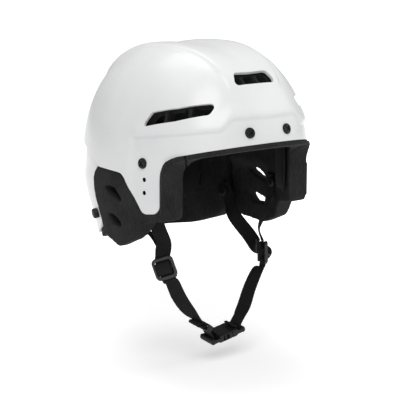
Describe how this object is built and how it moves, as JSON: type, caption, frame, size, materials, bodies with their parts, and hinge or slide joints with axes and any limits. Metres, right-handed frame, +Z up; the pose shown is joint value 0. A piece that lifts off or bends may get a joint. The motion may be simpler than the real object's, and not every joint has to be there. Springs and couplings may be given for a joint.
{
  "type": "multi-sport helmet",
  "caption": "Hard-shell multi-sport helmet with a two-panel shell, vents, foam liner with ear guards, comfort pads and a four-point chin harness.",
  "frame": {"origin": "centre of the head, on the mid-plane and level with the ear openings", "axes": "+X to the wearer's left, the face looks along -Y, +Z up"},
  "size_m": [0.2036, 0.2449, 0.3057],
  "materials": {
    "shell": "satin gloss",
    "foam": "moulded foam",
    "pad": "soft foam",
    "webbing": "woven nylon",
    "nut": "plain",
    "screw": "black satin",
    "slider": "satin",
    "buckle": "satin"
  },
  "bodies": {
    "helmet": {"main_shell": "shell", "rear_shell": "shell", "brow_liner": "foam", "left_side_liner": "foam", "right_side_liner": "foam", "rear_liner": "foam", "crown_liner": "foam", "brow_pad": "pad", "left_temple_pad": "pad", "right_temple_pad": "pad", "rear_pad": "pad", "crown_pad": "pad", "left_side_pad": "pad", "right_side_pad": "pad", "front_screws": "screw", "side_screws": "screw", "front_nuts": "nut", "side_nuts": "nut", "rear_rivet_caps": "buckle", "rear_rivet_posts": "buckle", "front_rivet_posts": "buckle", "left_front_strap": "webbing", "right_front_strap": "webbing", "left_rear_strap": "webbing", "right_rear_strap": "webbing", "buckle_socket": "buckle", "strap_keeper": "buckle"},
    "left_slider": {"left_slider": "slider"},
    "right_slider": {"right_slider": "slider"},
    "plug": {"buckle_plug": "buckle"},
    "front_prong": {"plug_front_prong": "buckle"},
    "rear_prong": {"plug_rear_prong": "buckle"}
  },
  "joints": [
    {"name": "buckle_release", "type": "slide", "parent": "helmet", "child": "plug", "axis": [0.9848, 0, 0.1736], "range_m": [0, 0.018], "deforming": ["left_front_strap", "plug_front_prong", "plug_rear_prong"]},
    {"name": "front_prong_squeeze", "type": "hinge", "parent": "plug", "child": "front_prong", "pos_m": [0.01157, -0.05673, -0.1398], "axis": [0.172, 0.1392, -0.9752], "range_deg": [0, 11], "stiffness_Nm_per_rad": 0.05},
    {"name": "rear_prong_squeeze", "type": "hinge", "parent": "plug", "child": "rear_prong", "pos_m": [0.01124, -0.04327, -0.13794], "axis": [-0.172, -0.1392, 0.9752], "range_deg": [0, 11], "stiffness_Nm_per_rad": 0.05},
    {"name": "left_slider_slide", "type": "slide", "parent": "helmet", "child": "left_slider", "axis": [0.2058, 0.2731, 0.9397], "range_m": [-0.008, 0.008], "deforming": ["left_front_strap", "left_rear_strap"]},
    {"name": "right_slider_slide", "type": "slide", "parent": "helmet", "child": "right_slider", "axis": [-0.2058, 0.2731, 0.9397], "range_m": [-0.008, 0.008], "deforming": ["right_front_strap", "right_rear_strap"]}
  ]
}
